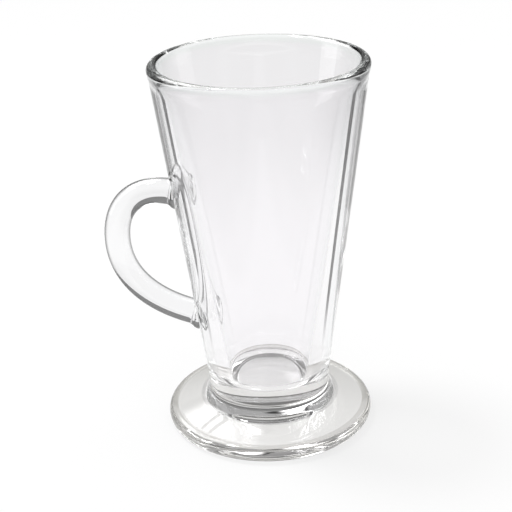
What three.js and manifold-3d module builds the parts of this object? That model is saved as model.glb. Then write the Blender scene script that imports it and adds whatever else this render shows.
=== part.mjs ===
// A glass latte mug: a tall tapered bowl on a short stem and a round foot, with an ear-shaped handle.
// Millimetres, +Z up. The origin is the middle of the foot's underside.
import * as THREE from "three";
import { mergeVertices } from "three/addons/utils/BufferGeometryUtils.js";
import Module from "manifold-3d";

const wasm = await Module();
wasm.setup();

// Heights above the table
const rimHeight = 150;
const bowlFloorHeight = 19.5;
const bowlSeatHeight = 16; // where the bowl's solid bottom is fused to the stem
const footCrownHeight = 9.5; // where the stem is fused to the foot

// Bowl
const rimRadius = 41.75;
const rimWall = 4.3; // thickness of the rounded rim
const rimBead = 0.6; // how far the rim stands out from the tapered wall
const rimBeadHeight = 5;
const waistRadius = 24.4; // the bowl's lower end and the stem's upper end
const wellRadius = 16.6; // inside, where the wall begins to turn into the floor
const wellRounding = 3;

// Stem and foot
const crownRadius = 28.4; // the stem's lower end and the middle of the foot
const footRadius = 42;
const footEdge = 6.6; // thickness of the foot's rounded edge

// Handle, seen from the side; distances are from the mug's axis
const handleReach = 59.8; // centre of the bar at its outermost point
const handleReachHeight = 76.3;
const upperWeldHeight = 96.6;
const lowerWeldHeight = 44.2;
const upperWeldAngle = 9; // degrees above level, leaving the wall
const lowerWeldAngle = 12;
const upperArm = 18.6; // how far each arm keeps its direction
const upperBend = 12;
const lowerBend = 20;
const lowerArm = 15;
const barDiameter = 10.4;
const padDiameter = 13.6; // the flared ends
const padLength = 3.2;
const padDepth = 5; // how far the bar reaches into the wall before it is cut
const weldGap = 0.3;

// How finely the curves are cut into flats
const turns = 64; // sides of each round piece
const barSteps = 96;
const barSides = 24;

const glass = { color: 0xeef2f0, roughness: 0.04, metalness: 0, transparent: true, opacity: 0.35 };

// A closed geometry as a solid that can be cut and joined.
function solidOf(geometry) {
  geometry.deleteAttribute("normal");
  geometry.deleteAttribute("uv");
  const merged = mergeVertices(geometry, 1e-4);
  const vertProperties = new Float32Array(merged.attributes.position.array);
  const triVerts = new Uint32Array(merged.index.array);
  return new wasm.Manifold(new wasm.Mesh({ numProp: 3, vertProperties, triVerts }));
}

// A solid as a named piece of the mug.
function pieceOf(name, solid) {
  const { vertProperties, triVerts } = solid.getMesh();
  const geometry = new THREE.BufferGeometry();
  geometry.setAttribute("position", new THREE.BufferAttribute(vertProperties, 3));
  geometry.setIndex(new THREE.BufferAttribute(triVerts, 1));
  geometry.computeVertexNormals();
  const mesh = new THREE.Mesh(geometry, new THREE.MeshStandardMaterial(glass));
  mesh.name = name;
  return mesh;
}

// A solid of revolution about +Z from a profile of [radius, height] points.
function turned(profile) {
  const points = profile.map(([radius, height]) => new THREE.Vector2(radius, height));
  return solidOf(new THREE.LatheGeometry(points, turns).rotateX(Math.PI / 2));
}

// Points on an arc of a profile, from one angle to another in degrees.
function arc(centreRadius, centreHeight, radius, from, to, steps) {
  const points = [];
  for (let i = 0; i <= steps; i++) {
    const angle = THREE.MathUtils.degToRad(from + ((to - from) * i) / steps);
    points.push([centreRadius + radius * Math.cos(angle), centreHeight + radius * Math.sin(angle)]);
  }
  return points;
}

// Points on a curve of a profile that leaves its start towards the middle point and reaches its end from it.
function bend(start, middle, end, steps) {
  const curve = new THREE.QuadraticBezierCurve(
    new THREE.Vector2(...start),
    new THREE.Vector2(...middle),
    new THREE.Vector2(...end),
  );
  return curve.getPoints(steps).map((point) => [point.x, point.y]);
}

// The outside of the bowl's straight wall.
const wallTopRadius = rimRadius - rimBead;
const wallTopHeight = rimHeight - rimBeadHeight;
const wallTaper = (wallTopRadius - waistRadius) / (wallTopHeight - bowlSeatHeight);
const wallRadiusAt = (height) => waistRadius + wallTaper * (height - bowlSeatHeight);

function bowl() {
  const rimRounding = rimWall / 2;
  const rimCentreRadius = rimRadius - rimRounding;
  const rimCentreHeight = rimHeight - rimRounding;
  const wellTop = [wellRadius, bowlFloorHeight + wellRounding];
  const insideTaper = (rimRadius - rimWall - wellRadius) / (rimCentreHeight - wellTop[1]);
  const wellCorner = [wellRadius - insideTaper * wellRounding, bowlFloorHeight];
  const wellFloor = [wellRadius - wellRounding, bowlFloorHeight];
  return turned([
    [0, bowlSeatHeight],
    [waistRadius, bowlSeatHeight],
    [wallTopRadius, wallTopHeight],
    ...arc(rimCentreRadius, rimCentreHeight, rimRounding, 0, 180, 10),
    ...bend(wellTop, wellCorner, wellFloor, 5),
    [0, bowlFloorHeight],
  ]);
}

// The stem flares from the bowl's lower end down to the foot, with a hollow curve.
const footEdgeRounding = footEdge / 2;
const footEdgeCentre = footRadius - footEdgeRounding;
const crownSlope = (footCrownHeight - footEdge) / (footEdgeCentre - crownRadius);

function stem() {
  const corner = [waistRadius, footCrownHeight + crownSlope * (crownRadius - waistRadius)];
  return turned([
    [0, footCrownHeight],
    ...bend([crownRadius, footCrownHeight], corner, [waistRadius, bowlSeatHeight], 7),
    [0, bowlSeatHeight],
  ]);
}

// The foot's top slopes down from the stem to its rounded edge.
function foot() {
  const lean = THREE.MathUtils.radToDeg(Math.atan(crownSlope));
  return turned([
    [0, 0],
    ...arc(footEdgeCentre, footEdgeRounding, footEdgeRounding, -90, 90 - lean, 9),
    [crownRadius, footCrownHeight],
    [0, footCrownHeight],
  ]);
}

// The line along the middle of the handle's bar, from inside the wall at the top to inside it at the bottom.
function handleLine() {
  const at = (radius, height) => new THREE.Vector3(-radius, 0, height);
  const towards = (angle) => {
    const turn = THREE.MathUtils.degToRad(angle);
    return at(Math.cos(turn), Math.sin(turn));
  };
  const upperWeld = at(wallRadiusAt(upperWeldHeight), upperWeldHeight);
  const lowerWeld = at(wallRadiusAt(lowerWeldHeight), lowerWeldHeight);
  const outermost = at(handleReach, handleReachHeight);
  const upward = towards(upperWeldAngle);
  const inward = towards(lowerWeldAngle);
  const line = new THREE.CurvePath();
  line.add(new THREE.LineCurve3(upperWeld.clone().addScaledVector(upward, -padDepth), upperWeld));
  line.add(
    new THREE.CubicBezierCurve3(
      upperWeld,
      upperWeld.clone().addScaledVector(upward, upperArm),
      outermost.clone().add(at(0, upperBend)),
      outermost,
    ),
  );
  line.add(
    new THREE.CubicBezierCurve3(
      outermost,
      outermost.clone().add(at(0, -lowerBend)),
      lowerWeld.clone().addScaledVector(inward, lowerArm),
      lowerWeld,
    ),
  );
  line.add(new THREE.LineCurve3(lowerWeld, lowerWeld.clone().addScaledVector(inward, -padDepth)));
  return line;
}

// The bar's radius at a distance from the wall: it flares towards each weld.
function barRadiusAt(distance) {
  const share = THREE.MathUtils.clamp(1 - distance / padLength, 0, 1);
  return (barDiameter + (padDiameter - barDiameter) * share * share) / 2;
}

// A round bar along the line, flared at both ends, as one closed geometry.
function sweptBar(line, steps, sides) {
  const length = line.getLength();
  const across = new THREE.Vector3(0, 1, 0);
  const positions = [];
  const index = [];
  for (let i = 0; i <= steps; i++) {
    const centre = line.getPointAt(i / steps);
    const outward = new THREE.Vector3().crossVectors(across, line.getTangentAt(i / steps));
    const along = (length * Math.min(i, steps - i)) / steps;
    const radius = barRadiusAt(Math.max(along - padDepth, 0));
    for (let j = 0; j < sides; j++) {
      const turn = (2 * Math.PI * j) / sides;
      const point = centre.clone();
      point.addScaledVector(outward, radius * Math.cos(turn));
      point.addScaledVector(across, radius * Math.sin(turn));
      positions.push(point.x, point.y, point.z);
    }
  }
  const ring = (i, j) => i * sides + (j % sides);
  for (let i = 0; i < steps; i++) {
    for (let j = 0; j < sides; j++) {
      index.push(ring(i, j), ring(i, j + 1), ring(i + 1, j + 1));
      index.push(ring(i, j), ring(i + 1, j + 1), ring(i + 1, j));
    }
  }
  for (let j = 1; j < sides - 1; j++) {
    index.push(ring(0, 0), ring(0, j + 1), ring(0, j));
    index.push(ring(steps, 0), ring(steps, j), ring(steps, j + 1));
  }
  const geometry = new THREE.BufferGeometry();
  geometry.setAttribute("position", new THREE.Float32BufferAttribute(positions, 3));
  geometry.setIndex(index);
  return geometry;
}

// The handle's ends are cut to the bowl's wall, clear of it by the weld gap.
function handle() {
  const seat = turned([
    [0, bowlSeatHeight],
    [waistRadius + weldGap, bowlSeatHeight],
    [wallTopRadius + weldGap, wallTopHeight],
    [0, wallTopHeight],
  ]);
  return solidOf(sweptBar(handleLine(), barSteps, barSides)).subtract(seat);
}

const mug = new THREE.Group();
mug.name = "latte_mug";
mug.add(pieceOf("foot", foot()));
mug.add(pieceOf("stem", stem()));
mug.add(pieceOf("bowl", bowl()));
mug.add(pieceOf("handle", handle()));

export default mug;
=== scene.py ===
# %% [markdown]
# # A glass latte mug
# The mug is clear glass, and it has four forms: a tall bowl, a short stem, a round foot and a handle.
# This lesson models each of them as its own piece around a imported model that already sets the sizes, and
# then makes the glass, the table, the light and the camera.
#
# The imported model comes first. It stays where it is, and the main sizes are read from the boxes of its
# pieces instead of being typed again.

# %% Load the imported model
import math

import bmesh
import bpy
from mathutils import Matrix, Vector
from mathutils.geometry import interpolate_bezier


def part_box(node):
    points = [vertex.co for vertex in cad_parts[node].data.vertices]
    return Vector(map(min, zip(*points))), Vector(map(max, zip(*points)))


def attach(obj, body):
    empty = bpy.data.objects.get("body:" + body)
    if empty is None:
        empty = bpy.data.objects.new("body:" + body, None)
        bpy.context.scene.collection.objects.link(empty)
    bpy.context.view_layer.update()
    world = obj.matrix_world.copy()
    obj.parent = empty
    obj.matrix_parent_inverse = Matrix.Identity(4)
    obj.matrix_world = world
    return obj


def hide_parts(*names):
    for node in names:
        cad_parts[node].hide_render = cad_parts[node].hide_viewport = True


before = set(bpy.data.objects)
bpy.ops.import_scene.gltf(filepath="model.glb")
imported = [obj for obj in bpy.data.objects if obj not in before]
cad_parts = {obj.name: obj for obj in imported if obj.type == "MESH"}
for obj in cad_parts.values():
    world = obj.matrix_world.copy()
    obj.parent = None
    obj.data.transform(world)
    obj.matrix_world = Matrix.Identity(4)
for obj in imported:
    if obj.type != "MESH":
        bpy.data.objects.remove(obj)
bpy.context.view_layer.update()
mm = 0.001

bowl_low, bowl_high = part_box("bowl")
stem_low, stem_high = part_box("stem")
foot_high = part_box("foot")[1]
rim_radius = bowl_high.x
rim_height = bowl_high.z
seat_height = bowl_low.z  # where the bowl is fused to the stem
crown_radius = stem_high.x
crown_height = stem_low.z  # where the stem is fused to the foot
foot_radius = foot_high.x
print(f"the mug is {rim_height / mm:.0f} mm tall and {2 * rim_radius / mm:.1f} mm across its rim")

# %% [markdown]
# ## Picking what an operator acts on
# Blender's operators act on whatever is selected, as they do by hand. Everything is deselected before new
# work starts, and edges and faces are then picked in code, by a test on their place or their slot.

# %% Pick pieces, edges and faces
def pick_nothing():
    """Deselects every object, so that the next operator acts on new work alone."""
    bpy.ops.object.select_all(action="DESELECT")


def pick_only(piece):
    """Makes one piece the only one that operators act on."""
    pick_nothing()
    piece.select_set(True)
    bpy.context.view_layer.objects.active = piece


def pick_edges(test):
    """Selects the edges of the piece in edit mode that pass a test."""
    bpy.ops.mesh.select_mode(type="EDGE")
    mesh = bmesh.from_edit_mesh(bpy.context.object.data)
    for edge in mesh.edges:
        edge.select_set(test(edge))
    mesh.select_flush_mode()


def pick_faces(test):
    """Selects the faces of the piece in edit mode that pass a test."""
    bpy.ops.mesh.select_mode(type="FACE")
    mesh = bmesh.from_edit_mesh(bpy.context.object.data)
    for face in mesh.faces:
        face.select_set(test(face))
    mesh.select_flush_mode()


pick_nothing()
print(f"{len(bpy.context.selected_objects)} objects are selected")

# %% [markdown]
# ## Round pieces from an outline
# Bowl, stem and foot are round about one axis, so they are made as on a lathe: half an outline is drawn
# once and spun about the axis. A cylinder that is pushed into shape would work too, but an outline keeps
# the wall's thickness and the curves in one place that can be read.
#
# The pencil is a plane that is merged to one point and then extruded from point to point.

# %% Draw an outline and spin it
round_sides = 192
same_place = 0.001 * mm  # points closer than this are merged


def draw_outline(name, points):
    """Starts a new piece in edit mode, as a chain of edges through points of (radius, height)."""
    pick_nothing()
    bpy.ops.mesh.primitive_plane_add(size=mm, enter_editmode=True)
    piece = bpy.context.object
    piece.name = name
    bpy.ops.mesh.select_mode(type="VERT")
    bpy.ops.mesh.merge(type="CENTER")
    pencil = Vector((0, 0, 0))
    for step, (radius, height) in enumerate(points):
        goal = Vector((radius, 0, height))
        move = {"value": goal - pencil}
        if step == 0:
            bpy.ops.transform.translate(**move)
        else:
            bpy.ops.mesh.extrude_vertices_move(TRANSFORM_OT_translate=move)
        pencil = goal
    return piece


def cut_long_edges(longest, cuts):
    """Cuts the outline's long straight edges, so that smooth shading stays true along them."""
    pick_edges(lambda edge: edge.calc_length() > longest)
    bpy.ops.mesh.subdivide(number_cuts=cuts)


def spin_outline():
    """Turns the outline in edit mode into a closed round piece with its faces outwards."""
    bpy.ops.mesh.select_all(action="SELECT")
    bpy.ops.mesh.spin(steps=round_sides, angle=2 * math.pi, center=(0, 0, 0), axis=(0, 0, 1))
    bpy.ops.mesh.select_all(action="SELECT")
    bpy.ops.mesh.remove_doubles(threshold=same_place)
    bpy.ops.mesh.normals_make_consistent(inside=False)
    bpy.ops.object.mode_set(mode="OBJECT")


print(f"each round piece gets {round_sides} sides")

# %% [markdown]
# ## Curves in an outline
# Hot glass has no sharp corners. A round stretch is an arc about a centre. A soft change of direction is a
# bend with three points: it leaves its start towards the corner and reaches its end from it.

# %% Arcs and bends
def arc(centre, radius, start, end, steps):
    """Points on a round stretch of an outline, between two angles in degrees."""
    turns = [math.radians(start + (end - start) * i / steps) for i in range(steps + 1)]
    return [(centre[0] + radius * math.cos(t), centre[1] + radius * math.sin(t)) for t in turns]


def bend(start, corner, end, steps):
    """Points on a stretch that leaves its start towards the corner and reaches its end from it."""
    start, corner, end = Vector(start), Vector(corner), Vector(end)
    shares = [i / steps for i in range(steps + 1)]
    return [start.lerp(corner, s).lerp(corner.lerp(end, s), s)[:] for s in shares]


print("a bend round the corner (1, 0) passes through", bend((0, 0), (1, 0), (1, 1), 2)[1])

# %% [markdown]
# ## The bowl
# The bowl is a cone with a thick wall: over 4 mm at the rim and over 8 mm at the bottom, where it closes
# in a flat well. The rim is fully round, as a fire-polished one is, and it stands a little proud of the
# wall. The inside tapers more than the outside, and that wedge of glass helps give the mug its dark edges,
# which painted shade in the glass and painted dark reflections on the sheet make deeper.

# %% Bowl
rim_wall = 4.3 * mm
rim_bead = 0.6 * mm  # how far the rim stands out from the wall
rim_bead_height = 5 * mm
waist_radius = 24.4 * mm  # the bowl's lower end and the stem's upper end
well_radius = 16.6 * mm
well_rounding = 3 * mm
well_soft = 1 * mm  # how far each crease of the well is rounded, both ways
well_height = 19.5 * mm
bead_steps = 6
rim_steps = 24
crease_steps = 8
wall_edge = 50 * mm  # only the two sides of the wall are longer than this
wall_cuts = 40

wall_top_radius = rim_radius - rim_bead
wall_top_height = rim_height - rim_bead_height
wall_taper = (wall_top_radius - waist_radius) / (wall_top_height - seat_height)


def bowl_outline():
    """From the middle of the seat up the outside, over the rim and down to the middle of the well."""
    rim_rounding = rim_wall / 2
    rim_centre = (rim_radius - rim_rounding, rim_height - rim_rounding)
    bead_middle = (rim_radius, (wall_top_height + rim_centre[1]) / 2)
    well_top = (well_radius, well_height + well_rounding)
    inside_taper = (rim_radius - rim_wall - well_radius) / (rim_centre[1] - well_top[1])
    above_top = (well_radius + inside_taper * well_soft, well_top[1] + well_soft)
    well_edge = (well_radius - well_rounding, well_height)
    towards_top = (Vector(well_top) - Vector(well_edge)).normalized() * well_soft
    below_top = Vector(well_top) - towards_top
    above_edge = Vector(well_edge) + towards_top
    inside_edge = (well_edge[0] - well_soft, well_height)
    return [
        (0, seat_height),
        (waist_radius, seat_height),
        *bend((wall_top_radius, wall_top_height), bead_middle, (rim_radius, rim_centre[1]), bead_steps),
        *arc(rim_centre, rim_rounding, 0, 180, rim_steps)[1:],
        *bend(above_top, well_top, below_top, crease_steps),
        *bend(above_edge, well_edge, inside_edge, crease_steps),
        (0, well_height),
    ]


bowl = draw_outline("mug_bowl", bowl_outline())
cut_long_edges(wall_edge, wall_cuts)
spin_outline()
print(f"bowl: {len(bowl.data.polygons)} faces, wall taper {wall_taper:.3f}")

# %% [markdown]
# ## The stem
# The stem is a short waist of solid glass. It leaves the bowl upright and flares into the foot in one
# hollow curve, so its outline is a single bend. It could be drawn as one piece with the foot, but the
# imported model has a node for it, so here it is a piece of its own.

# %% Stem
foot_edge = 6.6 * mm  # thickness of the foot's rounded edge
foot_edge_rounding = foot_edge / 2
foot_edge_centre = (foot_radius - foot_edge_rounding, foot_edge_rounding)
crown_slope = (crown_height - foot_edge) / (foot_edge_centre[0] - crown_radius)
flare_steps = 24


def stem_outline():
    """From the middle of the crown out, up the flare and in again to the middle of the seat."""
    corner = (waist_radius, crown_height + crown_slope * (crown_radius - waist_radius))
    flare = bend((crown_radius, crown_height), corner, (waist_radius, seat_height), flare_steps)
    return [(0, crown_height), *flare, (0, seat_height)]


stem = draw_outline("mug_stem", stem_outline())
spin_outline()
print(f"stem: {len(stem.data.polygons)} faces")

# %% [markdown]
# ## The foot
# The foot is a disc whose top slopes down from the stem to a round edge. The edge stands up from the
# slope as a low bead, which shows as a thin ring. The underside can't be seen in the photograph. It is
# made a little hollow, as on many glasses with a foot, so that the mug stands on a ring near the edge.
# The hollow also lets the table show through the foot, where a flat underside would mirror.

# %% Foot
hollow_depth = 3 * mm
standing_radius = 38.2 * mm
bead_rise = 0.4 * mm  # how far the slope passes below the top of the round edge
bead_soft = 0.7 * mm  # how far up the slope the crease beside the bead is rounded
bead_points = 3  # points at the end of the round edge that the rounded crease takes up
edge_steps = 34
hollow_steps = 24
slope_edge = 9 * mm  # only the slope and the flat crown are longer than this
slope_cuts = 8


def foot_outline():
    """From the middle of the hollow out, round the edge, up the slope and in to the middle of the crown."""
    lean = math.degrees(math.atan(crown_slope))
    bead_turn = math.degrees(math.acos(1 - bead_rise / foot_edge_rounding))
    edge = arc(foot_edge_centre, foot_edge_rounding, -90, 90 - lean + bead_turn, edge_steps)
    hollow_middle = (standing_radius / 2, hollow_depth)
    hollow = bend((0, hollow_depth), hollow_middle, (standing_radius, 0), hollow_steps)
    crown = Vector((crown_radius, crown_height))
    crease = Vector(edge[-1])
    on_slope = crease + (crown - crease).normalized() * bead_soft
    soft_crease = bend(edge[-bead_points], crease, on_slope, crease_steps)
    return [*hollow, *edge[:-bead_points], *soft_crease, crown[:], (0, crown_height)]


foot = draw_outline("mug_foot", foot_outline())
cut_long_edges(slope_edge, slope_cuts)
spin_outline()
print(f"foot: {len(foot.data.polygons)} faces")

# %% [markdown]
# ## The line of the handle
# The handle is a round bar that leaves the wall at the top, swings out to an ear and meets the wall again
# lower down. Its middle line is two Bezier curves that meet at the outermost point. Each end of such a
# curve has a direction and a pull, so a few lengths and angles give the whole ear.

# %% Handle's line
handle_reach = 59.8 * mm  # from the mug's axis to the middle of the bar
handle_reach_height = 76.3 * mm
upper_weld_height = 96.6 * mm
lower_weld_height = 44.2 * mm
upper_weld_angle = math.radians(9)
lower_weld_angle = math.radians(12)
upper_arm = 18.6 * mm  # how far each arm keeps its direction
upper_bend = 12 * mm
lower_bend = 20 * mm
lower_arm = 15 * mm
pad_depth = 2.6 * mm  # how far each end reaches into the wall before it is welded
bow_points = 120


def wall_point(height):
    """The place on the outside of the wall, on the handle's side."""
    return Vector((-waist_radius - wall_taper * (height - seat_height), 0, height))


def out_and_up(angle):
    """A direction away from the mug's axis on the handle's side, raised by an angle."""
    return Vector((-math.cos(angle), 0, math.sin(angle)))


def handle_line():
    """Points along the middle of the bar, from inside the wall at the top to inside it at the bottom."""
    upper = wall_point(upper_weld_height)
    lower = wall_point(lower_weld_height)
    outermost = Vector((-handle_reach, 0, handle_reach_height))
    upper_pull = upper + upper_arm * out_and_up(upper_weld_angle)
    lower_pull = lower + lower_arm * out_and_up(lower_weld_angle)
    above = outermost + Vector((0, 0, upper_bend))
    below = outermost - Vector((0, 0, lower_bend))
    into_wall = -pad_depth * out_and_up(-math.atan(wall_taper))
    upper_bow = interpolate_bezier(upper, upper_pull, above, outermost, bow_points)
    lower_bow = interpolate_bezier(outermost, below, lower_pull, lower, bow_points)
    return [upper + into_wall, *upper_bow, *lower_bow[1:], lower + into_wall]


bar_line = handle_line()
bar_length = sum((b - a).length for a, b in zip(bar_line, bar_line[1:]))
print(f"the bar is {bar_length / mm:.0f} mm long")

# %% [markdown]
# ## The bar of the handle
# Where the bar meets the wall, it spreads into a pad. A bevelled curve could make the bar, but its
# thickness is easier to steer ring by ring: a circle is extruded along the line, turned to face along it
# and resized where it flares.

# %% Handle's bar
bar_radius = 5.2 * mm
pad_radius = 6.8 * mm
pad_length = 3.2 * mm
bar_sides = 48


def bar_radius_at(place, line):
    """The bar's radius at a place on its line: it flares towards each weld."""
    near = min((place - line[1]).length, (place - line[-2]).length)
    share = max(0, 1 - near / pad_length)
    return bar_radius + (pad_radius - bar_radius) * share**2


def turns_along(line):
    """The angle that a ring across the line is turned by, at each of its points."""
    ways = [(b - a).normalized() for a, b in zip(line, line[1:])]
    ways = [ways[0]] + [(a + b).normalized() for a, b in zip(ways, ways[1:])] + [ways[-1]]
    return [math.atan2(way.x, way.z) for way in ways]


def pull_bar(name, line):
    """A round bar along a line in the plane of the handle, closed at both ends."""
    turns = turns_along(line)
    pick_nothing()
    bpy.ops.mesh.primitive_circle_add(vertices=bar_sides, radius=pad_radius, enter_editmode=True)
    bar = bpy.context.object
    bar.name = name
    bpy.ops.transform.rotate(value=-turns[0], orient_axis="Y", center_override=(0, 0, 0))
    bpy.ops.transform.translate(value=line[0])
    radius = pad_radius
    for i in range(1, len(line)):
        bpy.ops.mesh.extrude_region_move(TRANSFORM_OT_translate={"value": line[i] - line[i - 1]})
        change = (turns[i] - turns[i - 1] + math.pi) % (2 * math.pi) - math.pi
        bpy.ops.transform.rotate(value=-change, orient_axis="Y", center_override=line[i])
        wanted = pad_radius if i == len(line) - 1 else bar_radius_at(line[i], line)
        bpy.ops.transform.resize(value=(wanted / radius,) * 3, center_override=line[i])
        radius = wanted
    bpy.ops.mesh.select_all(action="SELECT")
    bpy.ops.mesh.fill_holes(sides=0)
    bpy.ops.mesh.select_all(action="SELECT")
    bpy.ops.mesh.normals_make_consistent(inside=False)
    bpy.ops.object.mode_set(mode="OBJECT")
    return bar


bar = pull_bar("mug_handle_bar", bar_line)
print(f"bar: {len(bar.data.polygons)} faces")

# %% [markdown]
# ## Colours in a shader
# The finishes below mix colours and fade them from one place to another. A few short helpers add the
# nodes for that, so that each finish can be read as a recipe.

# %% Helpers for colours
even_blend = 0.5  # at which Layer Weight favours neither the middle nor the edge


def set_or_link(links, socket, value):
    """Gives a socket a fixed value, or links it where the value is another socket."""
    if isinstance(value, bpy.types.NodeSocket):
        links.new(value, socket)
    else:
        socket.default_value = value


def mixed_colour(nodes, links, blend, factor, first, second):
    """A Mix node on two colours, each of them a colour or a socket, by a factor's socket or number."""
    mix = nodes.new("ShaderNodeMix")
    mix.data_type = "RGBA"
    mix.blend_type = blend
    set_or_link(links, mix.inputs["Factor"], factor)
    set_or_link(links, mix.inputs["A"], first)
    set_or_link(links, mix.inputs["B"], second)
    return mix.outputs["Result"]


def grey(level):
    """A grey as a colour with alpha."""
    return (level, level, level, 1)


def faded(nodes, links, value, start, end):
    """A smooth rise from 0 to 1 while a value goes from a start to an end."""
    share = nodes.new("ShaderNodeMapRange")
    share.interpolation_type = "SMOOTHSTEP"
    share.inputs["From Min"].default_value = start
    share.inputs["From Max"].default_value = end
    links.new(value, share.inputs["Value"])
    return share.outputs["Result"]


def facing_share(nodes):
    """0 where a surface is met squarely and 1 where it is grazed."""
    weight = nodes.new("ShaderNodeLayerWeight")
    weight.inputs["Blend"].default_value = even_blend
    return weight.outputs["Facing"]


print("half grey:", grey(0.5))

# %% [markdown]
# ## The tint of the glass, and painted shade
# Clear glass has a faint tint of its own, which shows where the light's way through it is long, as in
# the band along the rim. A volume could absorb the light along the way, but a tint on the surface renders
# faster and is easier to steer. Painted shade is laid over the tint: it darkens the glass where the surface
# is grazed, which draws the dark contours, and in a band along the foot's edge.

# %% Tints
# The painted contour shade fades in between these shares of the way to grazing.
graze_start = 0.35  # of the way from square to grazing
wall_graze_end = 0.95
bar_graze_end = 0.68


def tint_with_painted_contour(nodes, links, tint, grazed, graze_end):
    """Painted shade: a tint that is multiplied by a darker one where the glass is grazed, to draw dark
    contours.
    """
    share = faded(nodes, links, facing_share(nodes), graze_start, graze_end)
    return mixed_colour(nodes, links, "MULTIPLY", share, tint, (*grazed, 1))


def edge_tint_and_painted_shade(nodes, links, tint, deeper, direction, start, end):
    """A tint that turns deeper between two distances from the middle of the foot, along a direction: the
    glass's own deeper tint along the rim, or painted shade along the foot's edge.
    """
    place = nodes.new("ShaderNodeTexCoord")
    part = nodes.new("ShaderNodeVectorMath")
    part.operation = "MULTIPLY"
    part.inputs[1].default_value = direction
    distance = nodes.new("ShaderNodeVectorMath")
    distance.operation = "LENGTH"
    links.new(place.outputs["Object"], part.inputs[0])
    links.new(part.outputs["Vector"], distance.inputs[0])
    share = faded(nodes, links, distance.outputs["Value"], start, end)
    return mixed_colour(nodes, links, "MIX", share, (*tint, 1), (*deeper, 1))


print(f"the tint is deepest {wall_graze_end:.0%} of the way to grazing, and on the bar {bar_graze_end:.0%}")

# %% [markdown]
# ## Ripple and shadow
# A glass wall is seldom quite even, and a faint upright ripple in the bump bends its reflections a
# little.
#
# A path tracer finds hardly any lamp light through glass, and the mug would stand in a shadow as dark as
# a tin's. Rays on their way to a lamp therefore meet a Transparent shader. It lets most light through
# where the wall is met squarely and less where it is grazed, which gives the pale shadow with darker
# edges that glass has.

# %% Ripple and lamp window
ripple_scale = (60, 60, 9)  # to the metre, closer around the mug than upwards
ripple_strength = 0.25
ripple_height = 0.08 * mm
lamp_share_square = 0.98
lamp_share_grazed = 0.6


def ripple(nodes, links):
    """The faint unevenness of the glass, longer upwards than around."""
    place = nodes.new("ShaderNodeTexCoord")
    stretch = nodes.new("ShaderNodeMapping")
    stretch.inputs["Scale"].default_value = ripple_scale
    noise = nodes.new("ShaderNodeTexNoise")
    noise.inputs["Scale"].default_value = 1
    noise.inputs["Detail"].default_value = 1
    bump = nodes.new("ShaderNodeBump")
    bump.inputs["Strength"].default_value = ripple_strength
    bump.inputs["Distance"].default_value = ripple_height
    links.new(place.outputs["Object"], stretch.inputs["Vector"])
    links.new(stretch.outputs["Vector"], noise.inputs["Vector"])
    links.new(noise.outputs["Fac"], bump.inputs["Height"])
    return bump.outputs["Normal"]


def lamp_window(nodes, links):
    """The Transparent shader that rays to a lamp meet, from squarely met to grazed glass."""
    square, grazed = grey(lamp_share_square), grey(lamp_share_grazed)
    clear = nodes.new("ShaderNodeBsdfTransparent")
    links.new(mixed_colour(nodes, links, "MIX", facing_share(nodes), square, grazed), clear.inputs["Color"])
    return clear.outputs["BSDF"]


print(f"each surface lets {lamp_share_square:.0%} of a lamp through, and {lamp_share_grazed:.0%} if grazed")

# %% [markdown]
# ## The glass
# Clear glass is almost all reflection and refraction, so its finish is a Principled shader with full
# transmission and no roughness. The four pieces get a finish each, because each is tinted a little
# differently and carries its own painted shade: the solid stem is painted the darkest all over, the slim
# bar has the darkest painted contour, and the foot has a painted dark band along its edge.

# %% Glass finish
glass_bend = 1.52  # index of refraction of soda-lime glass
rim_edge = {
    "deeper": (0.93, 0.95, 0.94),
    "direction": (0, 0, 1),
    "start": rim_height - 4 * mm,
    "end": rim_height - 2 * mm,
}
# Painted shade: a dark band along the foot's edge, in place of the shade seen through it.
foot_ring_painted_shade = {
    "deeper": (0.66, 0.65, 0.625),
    "direction": (1, 1, 0),
    "start": foot_radius - 3.8 * mm,
    "end": foot_radius - 3.2 * mm,
}


def clear_glass(name, tint, grazed, edge=None, graze_end=wall_graze_end):
    """Clear fire-polished glass with a faint tint, with painted shade where it is grazed and a deeper band
    at the piece's edge, which is the glass's own tint at the rim and painted shade at the foot.
    """
    material = bpy.data.materials.new(name)
    material.use_nodes = True
    nodes = material.node_tree.nodes
    links = material.node_tree.links
    glass = nodes["Principled BSDF"]
    colour = edge_tint_and_painted_shade(nodes, links, tint, **edge) if edge else (*tint, 1)
    links.new(tint_with_painted_contour(nodes, links, colour, grazed, graze_end), glass.inputs["Base Color"])
    glass.inputs["Roughness"].default_value = 0
    glass.inputs["IOR"].default_value = glass_bend
    glass.inputs["Transmission Weight"].default_value = 1
    links.new(ripple(nodes, links), glass.inputs["Normal"])
    ray = nodes.new("ShaderNodeLightPath")
    choice = nodes.new("ShaderNodeMixShader")
    links.new(ray.outputs["Is Shadow Ray"], choice.inputs["Fac"])
    links.new(glass.outputs["BSDF"], choice.inputs[1])
    links.new(lamp_window(nodes, links), choice.inputs[2])
    links.new(choice.outputs["Shader"], nodes["Material Output"].inputs["Surface"])
    print(f"{name}: {len(nodes)} nodes")
    return material


# The second colour of each finish is its painted contour shade. The stem's tint is painted shade too, darker
# than any clear glass.
bowl_glass = clear_glass("clear_bowl_glass", (0.971, 0.963, 0.974), (0.85, 0.88, 0.87), rim_edge)
stem_glass = clear_glass("clear_stem_glass", (0.68, 0.675, 0.67), (0.8, 0.8, 0.8))
foot_glass = clear_glass("clear_foot_glass", (0.99, 0.983, 0.968), (0.6, 0.6, 0.575), foot_ring_painted_shade)
handle_tint = (0.975, 0.975, 0.98)
handle_painted_contour = (0.1, 0.1, 0.1)
handle_glass = clear_glass("clear_handle_glass", handle_tint, handle_painted_contour, graze_end=bar_graze_end)

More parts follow.
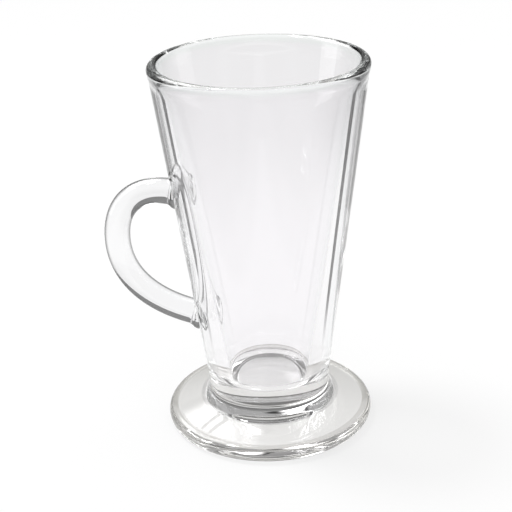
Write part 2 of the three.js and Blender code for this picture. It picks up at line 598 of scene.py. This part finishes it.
# %% [markdown]
# ## Welds
# Fused glass has no surface inside it, so light goes straight through a weld. Four closed pieces that
# only touch would show a mirror at each joint. Here every piece stays closed and keeps its own name, but
# the faces where two pieces are fused get a finish of their own that lets light pass unbent.

# %% Weld finish
def weld_finish(name):
    """The inside of a fused joint, which can't be seen."""
    material = bpy.data.materials.new(name)
    material.use_nodes = True
    nodes = material.node_tree.nodes
    nodes.remove(nodes["Principled BSDF"])
    clear = nodes.new("ShaderNodeBsdfTransparent")
    clear.inputs["Color"].default_value = grey(1)
    material.node_tree.links.new(clear.outputs["BSDF"], nodes["Material Output"].inputs["Surface"])
    return material


fused_joint = weld_finish("fused_joint")
print(f"{fused_joint.name}: {len(fused_joint.node_tree.nodes)} nodes")

# %% [markdown]
# ## Weld the handle on and part it again
# The handle's pads follow a curved wall. A boolean joins bar and bowl first, which finds the exact line
# where they meet. Every face of the bar carries a slot number of its own through the boolean, and that
# number tells which faces to separate into the handle again. Then each of the two gets faces over the
# openings that the parting left.

# %% Weld the handle to the bowl
SKIN, WELD, BAR = range(3)  # slots of each piece
for face in bar.data.polygons:
    face.material_index = BAR
for piece in (bowl, bar):
    for finish in (bowl_glass, fused_joint, handle_glass):
        piece.data.materials.append(finish)


def weld_handle(bowl, bar):
    """Joins the bar to the bowl along their common line, and returns the bar's outside as a new piece."""
    joint = bowl.modifiers.new("weld", "BOOLEAN")
    joint.operation = "UNION"
    joint.solver = "EXACT"
    joint.material_mode = "INDEX"
    joint.object = bar
    pick_only(bowl)
    bpy.ops.object.modifier_apply(modifier=joint.name)
    bpy.data.objects.remove(bar)
    bpy.ops.object.mode_set(mode="EDIT")
    pick_faces(lambda face: face.material_index == BAR)
    bpy.ops.mesh.separate(type="SELECTED")
    bpy.ops.object.mode_set(mode="OBJECT")
    return next(piece for piece in bpy.context.selected_objects if piece != bowl)


def close_welds(piece):
    """Closes the openings that the parting left, and returns how many faces that took."""
    skin_faces = len(piece.data.polygons)
    pick_only(piece)
    bpy.ops.object.mode_set(mode="EDIT")
    bpy.ops.mesh.select_all(action="SELECT")
    bpy.ops.mesh.fill_holes(sides=0)
    bpy.ops.object.mode_set(mode="OBJECT")
    return len(piece.data.polygons) - skin_faces


handle = weld_handle(bowl, bar)
handle.name = "mug_handle"
for piece in (bowl, handle):
    print(f"{piece.name}: {close_welds(piece)} weld faces, {len(piece.data.polygons)} faces in all")

# %% [markdown]
# ## Finish the four pieces
# Stem, foot and bowl meet on level faces, which are picked by their height. The handle's welds are the
# only faces with more corners than the bar has sides. All of them get the weld's slot and a sharp border,
# and each piece is shaded smooth apart from its sharp borders.

# %% Weld faces and smooth shading
level_slack = 0.01 * mm
sharp_corner = math.radians(35)


def mark_weld(piece, test):
    """Gives a piece's fused faces their slot, and a sharp border so that they don't shade the skin."""
    pick_only(piece)
    bpy.ops.object.mode_set(mode="EDIT")
    pick_faces(test)
    piece.active_material_index = WELD
    bpy.ops.object.material_slot_assign()
    bpy.ops.mesh.region_to_loop()
    bpy.ops.mesh.mark_sharp()
    bpy.ops.object.mode_set(mode="OBJECT")


def lies_level(*heights):
    """A test for flat faces at one of some heights."""

    def test(face):
        return any(all(abs(corner.co.z - h) < level_slack for corner in face.verts) for h in heights)

    return test


def closes_pad(face):
    """A test for the faces that close the handle's welds."""
    return len(face.verts) > bar_sides


stem.data.materials.append(stem_glass)
foot.data.materials.append(foot_glass)
for piece in (stem, foot):
    piece.data.materials.append(fused_joint)
for face in handle.data.polygons:
    face.material_index = SKIN
mark_weld(bowl, lambda face: lies_level(seat_height)(face) or closes_pad(face))
mark_weld(stem, lies_level(seat_height, crown_height))
mark_weld(foot, lies_level(crown_height))
mark_weld(handle, closes_pad)
handle.data.materials[SKIN] = handle_glass
for piece in (bowl, handle):
    piece.data.materials.pop(index=BAR)
for piece in (bowl, stem, foot, handle):
    pick_only(piece)
    bpy.ops.object.shade_smooth_by_angle(angle=sharp_corner)
    welds = sum(face.material_index == WELD for face in piece.data.polygons)
    print(f"{piece.name}: {welds} of {len(piece.data.polygons)} faces are fused")

# %% [markdown]
# ## Painted grades of the studio
# A glass has no colour of its own to draw it with: its dark lines are the dim parts of a studio, which
# the wall mirrors. A studio often has dark cards for this. Here the sheet and two strips of card carry
# painted dim tones by their place instead, which no lamp casts, and Light Path tells which rays see
# them: only those that were mirrored in the glass on their way. Rays that just pass through see a white
# sheet, painted a little dimmer far off. So the contours are dark and the bowl stays clear from every side.

# %% Grades by place
view_turn = math.radians(9)  # the camera looks past the mug turned by this angle
facing_camera = Matrix.Rotation(view_turn, 4, "Z")
grades_reach = 0.5  # metres from the mug in each direction
half_a_mirror = 0.5  # between no mirror on a ray's way and one


def link_math(nodes, links, operation, first, second):
    """A Math node on two values, each of them a number or a socket."""
    node = nodes.new("ShaderNodeMath")
    node.operation = operation
    set_or_link(links, node.inputs[0], first)
    set_or_link(links, node.inputs[1], second)
    return node.outputs["Value"]


def graded(nodes, links, value, grades):
    """A grey that changes with a place, through stops of (place, grey)."""
    share = nodes.new("ShaderNodeMapRange")
    share.inputs["From Min"].default_value = -grades_reach
    share.inputs["From Max"].default_value = grades_reach
    ramp = nodes.new("ShaderNodeValToRGB")
    ramp.color_ramp.interpolation = "EASE"
    stops = ramp.color_ramp.elements
    while len(stops) < len(grades):
        stops.new(0.5)
    for stop, (place, level) in zip(stops, grades):
        stop.position = (place + grades_reach) / (2 * grades_reach)
        stop.color = grey(level)
    links.new(value, share.inputs["Value"])
    links.new(share.outputs["Result"], ramp.inputs["Fac"])
    return ramp.outputs["Color"]


def mirrored(nodes, links):
    """1 for a ray that was mirrored in the glass on its way, and 0 for one that only went through."""
    ray = nodes.new("ShaderNodeLightPath")
    return link_math(nodes, links, "GREATER_THAN", ray.outputs["Glossy Depth"], half_a_mirror)


def mixed_shaders(nodes, links, share, first, second):
    """Puts a mix of two shaders on the surface."""
    mix = nodes.new("ShaderNodeMixShader")
    links.new(share, mix.inputs["Fac"])
    links.new(first, mix.inputs[1])
    links.new(second, mix.inputs[2])
    links.new(mix.outputs["Shader"], nodes["Material Output"].inputs["Surface"])


print(f"the studio is turned by {math.degrees(view_turn):.0f} degrees, with the camera")

# %% [markdown]
# ## The white sheet
# The mug stands on a plain white sheet that runs far past the picture. A lit sheet alone would come out
# grey, and more light would bleach the mug. So a share of its brightness is its own glow, for the camera
# and for rays that come by way of the glass. The rest is lit, and that share keeps the shadow. Rays that
# come by way of the glass see the sheet with the painted dim tones above.

# %% Table
table_size = 8  # metres
table_drop = 0.02 * mm  # keeps the sheet clear of the foot
paper_grey = 0.93
paper_roughness = 0.9
paper_gloss = 0.1
glow_to_camera = 0.7
glow_to_glass = 0.82
# Painted dim tones, which only rays by way of the glass see.
far_grades = [(0.15, 1.0), (0.35, 0.92)]  # outwards
side_grades = [(-0.34, 0.45), (-0.22, 1.0), (0.18, 1.0), (0.28, 0.35)]  # from left to right


def painted_studio_grades(nodes, links):
    """Painted dim tones of the sheet by its place, with painted dim sides for mirrored rays, in the
    directions of the view.
    """
    place = nodes.new("ShaderNodeTexCoord")
    distance = nodes.new("ShaderNodeVectorMath")
    distance.operation = "LENGTH"
    turn = nodes.new("ShaderNodeMapping")
    turn.inputs["Rotation"].default_value = (0, 0, -view_turn)
    split = nodes.new("ShaderNodeSeparateXYZ")
    links.new(place.outputs["Object"], distance.inputs[0])
    links.new(place.outputs["Object"], turn.inputs["Vector"])
    links.new(turn.outputs["Vector"], split.inputs["Vector"])
    far = graded(nodes, links, distance.outputs["Value"], far_grades)
    sides = graded(nodes, links, split.outputs["X"], side_grades)
    return mixed_colour(nodes, links, "MULTIPLY", mirrored(nodes, links), far, sides)


def white_sheet(name):
    """A white sheet. A share of its brightness is its own glow, and the rest is lit and keeps the shadow."""
    material = bpy.data.materials.new(name)
    material.use_nodes = True
    nodes = material.node_tree.nodes
    links = material.node_tree.links
    ray = nodes.new("ShaderNodeLightPath").outputs
    by_glass = link_math(nodes, links, "MAXIMUM", ray["Is Glossy Ray"], ray["Is Transmission Ray"])
    to_camera = link_math(nodes, links, "MULTIPLY", ray["Is Camera Ray"], glow_to_camera)
    to_glass = link_math(nodes, links, "MULTIPLY", by_glass, glow_to_glass)
    share = link_math(nodes, links, "MAXIMUM", to_camera, to_glass)
    # Rays by way of the glass see the painted dim tones, and the camera sees plain white.
    tone = mixed_colour(nodes, links, "MIX", by_glass, grey(1), painted_studio_grades(nodes, links))
    sheet = nodes["Principled BSDF"]
    sheet.inputs["Roughness"].default_value = paper_roughness
    sheet.inputs["Specular IOR Level"].default_value = paper_gloss
    paper = mixed_colour(nodes, links, "MULTIPLY", 1, grey(paper_grey), tone)
    links.new(paper, sheet.inputs["Base Color"])
    glow = nodes.new("ShaderNodeEmission")
    links.new(tone, glow.inputs["Color"])
    mixed_shaders(nodes, links, share, sheet.outputs["BSDF"], glow.outputs["Emission"])
    return material


pick_nothing()
bpy.ops.mesh.primitive_plane_add(size=table_size, location=(0, 0, -table_drop))
table = bpy.context.object
table.name = "table"
table.data.materials.append(white_sheet("white_sheet"))
print(f"the sheet is {table.dimensions.x:.0f} m wide")

# %% [markdown]
# ## Painted dark reflections
# Two strips of card lie on the sheet behind the mug, one to each side, and only rays that the glass has
# mirrored see them: they are painted reflections that glow a painted grey, which no lamp lights and no
# shade casts. The thick wall bends each of them into thin upright dark lines along its edge. They start
# pale and grow dark away from the mug, so that the lines end softly.

# %% Strips of card
strip_start = 0.045  # metres from the mug's axis
strip_end = 0.6
strip_lift = 0.1 * mm
# The painted grey of the strips, from white near the mug to dark further out.
strip_grades = [(0.05, 1.0), (0.1, 0.1)]  # outwards


def painted_reflection_card(name):
    """Painted reflection: a card that glows from white to a dark grey along its length, and that only
    mirrored rays see.
    """
    material = bpy.data.materials.new(name)
    material.use_nodes = True
    nodes = material.node_tree.nodes
    links = material.node_tree.links
    nodes.remove(nodes["Principled BSDF"])
    place = nodes.new("ShaderNodeTexCoord")
    split = nodes.new("ShaderNodeSeparateXYZ")
    links.new(place.outputs["Object"], split.inputs["Vector"])
    glow = nodes.new("ShaderNodeEmission")
    links.new(graded(nodes, links, split.outputs["Y"], strip_grades), glow.inputs["Color"])
    clear = nodes.new("ShaderNodeBsdfTransparent")
    clear_to_dark = mirrored(nodes, links)
    mixed_shaders(nodes, links, clear_to_dark, clear.outputs["BSDF"], glow.outputs["Emission"])
    return material


def lay_strip(name, turn, spread, finish):
    """A strip of card that widens away from the mug, turned to the right of straight behind it."""
    length = strip_end - strip_start
    end_width = 2 * strip_end * math.tan(math.radians(spread) / 2)
    pick_nothing()
    bpy.ops.mesh.primitive_plane_add(size=1, enter_editmode=True)
    strip = bpy.context.object
    strip.name = name
    bpy.ops.transform.resize(value=(end_width, length, 1))
    bpy.ops.transform.translate(value=(0, strip_start + length / 2, strip_lift))
    pick_edges(lambda edge: all(corner.co.y < strip_start + mm for corner in edge.verts))
    bpy.ops.transform.resize(value=(strip_start / strip_end, 1, 1))
    bpy.ops.object.mode_set(mode="OBJECT")
    strip.rotation_euler.z = view_turn - math.radians(turn)
    strip.data.materials.append(finish)
    strip.visible_camera = False
    strip.visible_diffuse = False
    strip.visible_shadow = False
    print(f"{name}: {end_width:.3f} m wide at its far end")


strip_finish = painted_reflection_card("painted_reflection_card")
lay_strip("right_strip", turn=52, spread=9, finish=strip_finish)
lay_strip("left_strip", turn=-48, spread=8, finish=strip_finish)

# %% [markdown]
# ## Lamps
# A broad lamp from the left and a little behind throws the soft shadow to the right. Two upright panels
# stand beside the mug, and the round wall mirrors each of them as a long pale stripe. The panels throw no
# shadow, because two more shadows would spoil the first.

# %% Lamps
mug_middle = (0, 0, 0.1)
foot_middle = (0, 0, 0)


def aim(thing, place, goal):
    """Puts a lamp or card at a place and turns it to face a goal, both as seen by the camera."""
    thing.location = facing_camera @ Vector(place)
    way = facing_camera @ Vector(goal) - thing.location
    thing.rotation_euler = way.to_track_quat("-Z", "Y").to_euler()


def key_lamp(name, place, strength, spread):
    """A far lamp, whose spread in degrees makes the shadow's edge soft."""
    pick_nothing()
    bpy.ops.object.light_add(type="SUN")
    lamp = bpy.context.object
    lamp.name = name
    lamp.data.energy = strength
    lamp.data.angle = math.radians(spread)
    aim(lamp, place, foot_middle)


def panel(name, place, width, height, power):
    """An upright panel of light that throws no shadow."""
    pick_nothing()
    bpy.ops.object.light_add(type="AREA")
    lamp = bpy.context.object
    lamp.name = name
    lamp.data.shape = "RECTANGLE"
    lamp.data.size = width
    lamp.data.size_y = height
    lamp.data.energy = power
    lamp.data.use_shadow = False
    aim(lamp, place, mug_middle)


key_lamp("key", (-0.52, 0.25, 1.25), strength=2.2, spread=15)
panel("left_panel", (-0.9, 0.1, 0.45), width=0.5, height=0.9, power=2)
panel("right_panel", (0.9, 0.2, 0.45), width=0.5, height=0.9, power=1)
print("lamps:", [light.name for light in bpy.data.lights])

# %% [markdown]
# ## A card for the highlights
# The soft white patches on the foot and the handle look like the mirror image of a window or a soft box.
# A lamp would do, but its image has hard edges. A card that glows in the middle and fades out towards its
# edges gives a soft one. The camera and the sheet don't see it, so it lights nothing else.

# %% Gloss card
glow_core = 0.4  # of the way from the card's middle to its edge, where the glow begins to fade


def soft_glow(name, width, height, level):
    """A glow that fades out towards the edges of a card."""
    material = bpy.data.materials.new(name)
    material.use_nodes = True
    nodes = material.node_tree.nodes
    links = material.node_tree.links
    nodes.remove(nodes["Principled BSDF"])
    place = nodes.new("ShaderNodeTexCoord")
    squeeze = nodes.new("ShaderNodeMapping")
    squeeze.inputs["Scale"].default_value = (2 / width, 2 / height, 0)
    distance = nodes.new("ShaderNodeVectorMath")
    distance.operation = "LENGTH"
    glow = nodes.new("ShaderNodeEmission")
    links.new(place.outputs["Object"], squeeze.inputs["Vector"])
    links.new(squeeze.outputs["Vector"], distance.inputs[0])
    links.new(faded(nodes, links, distance.outputs["Value"], 1, glow_core), glow.inputs["Color"])
    glow.inputs["Strength"].default_value = level
    links.new(glow.outputs["Emission"], nodes["Material Output"].inputs["Surface"])
    return material


def gloss_card(name, place, width, height, level):
    """A glowing card that shows only by way of the glass."""
    pick_nothing()
    bpy.ops.mesh.primitive_plane_add(size=1, enter_editmode=True)
    card = bpy.context.object
    card.name = name
    bpy.ops.transform.resize(value=(width, height, 1))
    bpy.ops.object.mode_set(mode="OBJECT")
    aim(card, place, foot_middle)
    card.data.materials.append(soft_glow(name + "_glow", width, height, level))
    card.visible_camera = False
    card.visible_diffuse = False
    card.visible_shadow = False
    print(f"{name}: {width} by {height} m")


gloss_card("gloss_box", (-0.5, 0.5, 0.8), width=1.1, height=0.8, level=7)

# %% [markdown]
# ## The room
# A glass also mirrors the room. It is dim, so that the contours stay dark, and brighter overhead, where a
# ceiling throws the light back.

# %% Room
room_level = 0.2
room_overhead = 0.5
ceiling_start = 0.3  # height of the direction of view, from 0 for level to 1 for straight up
ceiling_end = 0.9


def room(name):
    """A dim grey room that is brighter overhead."""
    world = bpy.data.worlds.new(name)
    bpy.context.scene.world = world
    world.use_nodes = True
    nodes = world.node_tree.nodes
    links = world.node_tree.links
    way = nodes.new("ShaderNodeTexCoord")
    split = nodes.new("ShaderNodeSeparateXYZ")
    fade = nodes.new("ShaderNodeMapRange")
    fade.interpolation_type = "SMOOTHSTEP"
    fade.inputs["From Min"].default_value = ceiling_start
    fade.inputs["From Max"].default_value = ceiling_end
    fade.inputs["To Min"].default_value = room_level
    fade.inputs["To Max"].default_value = room_overhead
    background = nodes["Background"]
    background.inputs["Color"].default_value = grey(1)
    links.new(way.outputs["Generated"], split.inputs["Vector"])
    links.new(split.outputs["Z"], fade.inputs["Value"])
    links.new(fade.outputs["Result"], background.inputs["Strength"])


room("room")
print(f"{bpy.context.scene.world.name}: {room_level} around, {room_overhead} overhead")

# %% [markdown]
# ## Camera
# A fit to the photograph's outline gave the lens and the place. The picture is 512 pixels wide, so a focal
# length in pixels turns into one in millimetres through the sensor's width.
#
# Light crosses many walls on its way through a mug, so a ray may bounce often before it is given up.
# Caustics are off, because the finish already lets lamp light through, and they would only add noise.

# %% Camera
image_pixels = 512
focal_pixels = 1186.4
sensor_width = 36
camera_place = Vector((0, -431.4 * mm, 259.6 * mm))
camera_tilt = math.radians(23.69)  # down from level
camera_pan = math.radians(0.48)  # to the left
camera_roll = math.radians(-2.19)
glass_bounces = 36

bpy.ops.object.camera_add()
camera = bpy.context.object
camera.data.sensor_width = sensor_width
camera.data.lens = focal_pixels * sensor_width / image_pixels
camera.matrix_world = (
    facing_camera
    @ Matrix.Translation(camera_place)
    @ Matrix.Rotation(camera_pan, 4, "Z")
    @ Matrix.Rotation(math.pi / 2 - camera_tilt, 4, "X")
    @ Matrix.Rotation(camera_roll, 4, "Z")
)
scene = bpy.context.scene
scene.camera = camera
scene.view_settings.view_transform = "Standard"
scene.cycles.max_bounces = glass_bounces
scene.cycles.transmission_bounces = glass_bounces
scene.cycles.glossy_bounces = glass_bounces
scene.cycles.transparent_max_bounces = glass_bounces
scene.cycles.caustics_reflective = False
scene.cycles.caustics_refractive = False
print(f"lens {camera.data.lens:.1f} mm, {camera_place.length:.3f} m from the mug")

# %% [markdown]
# ## Finish
# Each of the four pieces stands for one node of the imported model, and rides on its only body. The
# imported model's own node is hidden.

# %% Finish
for piece, node in ((bowl, "bowl"), (stem, "stem"), (foot, "foot"), (handle, "handle")):
    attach(piece, "root")
    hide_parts(node)
